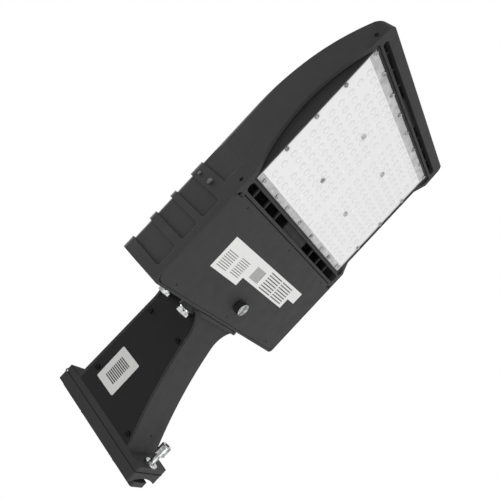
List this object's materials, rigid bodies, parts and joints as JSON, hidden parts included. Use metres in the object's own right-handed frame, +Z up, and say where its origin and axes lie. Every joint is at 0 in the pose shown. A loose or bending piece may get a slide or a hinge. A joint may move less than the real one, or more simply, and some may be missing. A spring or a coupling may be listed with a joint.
{
  "type": "shoebox area light",
  "caption": "Shoebox area light on a short arm that hooks onto a pole adapter, with a flat lens plate over its optics, a side cover on the arm and a hinged driver door.",
  "frame": {"origin": "centre of the adapter's pole face, in the plane of its two flat lips", "axes": "+Z up with the light pointing down, +X from the pole out to the tip of the head, +Y across the head"},
  "size_m": [0.5855, 0.324, 0.1798],
  "materials": {
    "powder_coat": "die-cast aluminium with a fine-textured charcoal powder coat",
    "black_rubber": "matt",
    "zinc_steel": "bright zinc plating",
    "dark_powder_coat": "smooth near-black powder coat",
    "black_screw": "black oxide",
    "sticker": "white film, bare",
    "wire": "insulation",
    "dull_steel": "dark plating",
    "tray_steel": "zinc plated sheet",
    "driver_case": "satin",
    "black_plastic": "moulded",
    "white_plastic": "moulded",
    "green_screw": "green",
    "pad": "grey",
    "board": "white solder mask",
    "led": "yellow phosphor",
    "lens": "clear optics over a white board",
    "brass": "turned"
  },
  "bodies": {
    "adapter": {"pole_adapter": "powder_coat", "adapter_gasket": "black_rubber", "hook_pin": "zinc_steel", "pole_bolt_upper": "zinc_steel", "pole_bolt_lower": "zinc_steel", "pole_washer_upper": "zinc_steel", "pole_washer_lower": "zinc_steel"},
    "clamp_bar": {"clamp_bar": "powder_coat"},
    "light": {"arm_body": "powder_coat", "arm_cover": "dark_powder_coat", "cover_screw_1": "black_screw", "cover_screw_2": "black_screw", "cover_screw_3": "black_screw", "cover_screw_4": "black_screw", "arm_label": "sticker", "head_bolt_1": "zinc_steel", "head_bolt_2": "zinc_steel", "head_bolt_3": "zinc_steel", "head_bolt_4": "zinc_steel", "head_washer_1": "zinc_steel", "head_washer_2": "zinc_steel", "head_washer_3": "zinc_steel", "head_washer_4": "zinc_steel", "flange_gasket": "black_rubber", "lock_seat_washer": "zinc_steel", "supply_leads": "wire", "housing": "powder_coat", "side_plugs": "dull_steel", "frame_screws": "black_screw", "door_gasket": "black_rubber", "driver_tray": "tray_steel", "tray_screws": "zinc_steel", "driver_near": "driver_case", "driver_far": "driver_case", "surge_protector": "black_plastic", "terminal_block": "white_plastic", "driver_leads": "wire", "ground_screw": "green_screw", "bulkhead_grommet": "black_rubber", "heat_sink": "powder_coat", "thermal_pads": "pad", "led_board_near": "board", "led_board_far": "board", "leds_near": "led", "leds_far": "led", "board_screws": "zinc_steel", "lens_gasket": "black_rubber", "lens_plate": "lens", "lens_edge_screws": "zinc_steel", "lens_centre_screws": "zinc_steel", "knob_insert": "brass"},
    "door": {"door": "powder_coat", "door_label": "sticker", "door_pin_near": "zinc_steel", "door_pin_far": "zinc_steel"},
    "knob_carrier": {"knob_washer": "black_plastic"},
    "knob": {"knob_screw": "zinc_steel", "knob_grip": "black_plastic"},
    "lock_carrier": {"lock_bolt_washer": "zinc_steel"},
    "lock_bolt": {"lock_bolt": "zinc_steel"}
  },
  "joints": [
    {"name": "arm_hook", "type": "hinge", "parent": "adapter", "child": "light", "pos_m": [0.0143, 0, 0.0868], "axis": [0, -1, 0], "range_deg": [0, 20]},
    {"name": "clamp_bar_slide", "type": "slide", "parent": "adapter", "child": "clamp_bar", "axis": [1, 0, 0], "range_m": [-0.0045, 0]},
    {"name": "door_hinge", "type": "hinge", "parent": "light", "child": "door", "pos_m": [0.3331, 0, -0.0168], "axis": [0, -1, 0], "range_deg": [0, 90]},
    {"name": "knob_travel", "type": "slide", "parent": "door", "child": "knob_carrier", "axis": [0, 0, -1], "range_m": [0, 0.004]},
    {"name": "knob_spin", "type": "hinge", "parent": "knob_carrier", "child": "knob", "pos_m": [0.2336, 0, -0.0191], "axis": [0, 0, -1], "range_deg": [0, 1440]},
    {"name": "lock_bolt_travel", "type": "slide", "parent": "light", "child": "lock_carrier", "axis": [-1, 0, 0], "range_m": [0, 0.0144]},
    {"name": "lock_bolt_spin", "type": "hinge", "parent": "lock_carrier", "child": "lock_bolt", "pos_m": [0.0412, 0, -0.081], "axis": [-1, 0, 0], "range_deg": [0, 4147.2]}
  ],
  "couplings": [
    {"joint": "knob_spin", "follows": "knob_travel", "rad_per_m": 6283},
    {"joint": "lock_bolt_spin", "follows": "lock_bolt_travel", "rad_per_m": 5026}
  ]
}
